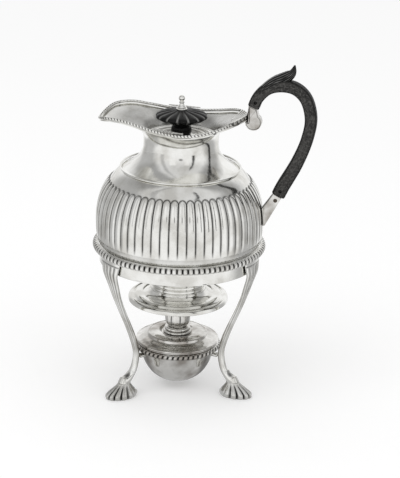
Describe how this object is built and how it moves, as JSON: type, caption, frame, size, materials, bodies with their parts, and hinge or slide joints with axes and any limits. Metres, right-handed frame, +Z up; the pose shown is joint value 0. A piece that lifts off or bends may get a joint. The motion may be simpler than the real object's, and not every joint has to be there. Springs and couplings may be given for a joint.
{
  "type": "hot water jug on a lampstand with spirit burner",
  "caption": "Polished silver hot-water jug with lobed belly, open lip, hinged lid and dark wooden handle, lifting off a three-legged lampstand with a spirit burner.",
  "frame": {"origin": "middle of the whole object's box in plan, on the table under the shell feet", "axes": "+Z up, +X towards the handle, -X towards the spout; the jug's own axis is upright at x = -0.0201, y = 0"},
  "size_m": [0.192, 0.152, 0.2997],
  "materials": {
    "silver": "polished, lightly worn silver",
    "finial_black": "black fluted wood, low sheen",
    "handle_wood": "dark brown-black wood, matt, fine grain",
    "cotton": "woven cotton wick"
  },
  "bodies": {
    "stand": {"stand_band": "silver", "stand_border": "silver", "leg_1": "silver", "leg_2": "silver", "leg_3": "silver", "shell_foot_1": "silver", "shell_foot_2": "silver", "shell_foot_3": "silver", "burner_bracket_1": "silver", "burner_bracket_2": "silver", "burner_bracket_3": "silver", "burner_ring": "silver"},
    "jug": {"jug_body": "silver", "jug_neck_wire": "silver", "jug_rim_border": "silver", "jug_rear_shell": "silver", "jug_rim_leaf_near": "silver", "jug_rim_leaf_far": "silver", "jug_foot": "silver", "lid_bearer_ring": "silver", "hinge_knuckle_near": "silver", "hinge_knuckle_far": "silver", "hinge_pin": "silver", "handle": "handle_wood", "handle_upper_socket": "silver", "handle_lower_socket": "silver", "handle_upper_pin": "handle_wood", "handle_lower_pin": "handle_wood", "handle_lower_rivet": "silver"},
    "lid": {"lid": "silver", "lid_knuckle": "silver", "finial_stud": "silver", "finial": "finial_black", "finial_washer": "silver", "finial_nut": "silver"},
    "burner": {"burner_bowl": "silver", "burner_cover": "silver", "burner_collar": "silver"},
    "wick_holder": {"wick_holder": "silver", "wick": "cotton"},
    "snuffer": {"snuffer_cap": "silver"}
  },
  "joints": [
    {"name": "jug_lift", "type": "slide", "parent": "stand", "child": "jug", "axis": [0, 0, 1], "range_m": [0, 0.07]},
    {"name": "lid_hinge", "type": "hinge", "parent": "jug", "child": "lid", "pos_m": [0.00928, 0, 0.23523], "axis": [0, 1, 0], "range_deg": [0, 70]},
    {"name": "burner_lift", "type": "slide", "parent": "stand", "child": "burner", "axis": [0, 0, 1], "range_m": [0, 0.008]},
    {"name": "wick_holder_lift", "type": "slide", "parent": "burner", "child": "wick_holder", "axis": [0, 0, 1], "range_m": [0, 0.008]},
    {"name": "snuffer_lift", "type": "slide", "parent": "wick_holder", "child": "snuffer", "axis": [0, 0, 1], "range_m": [0, 0.012]}
  ]
}
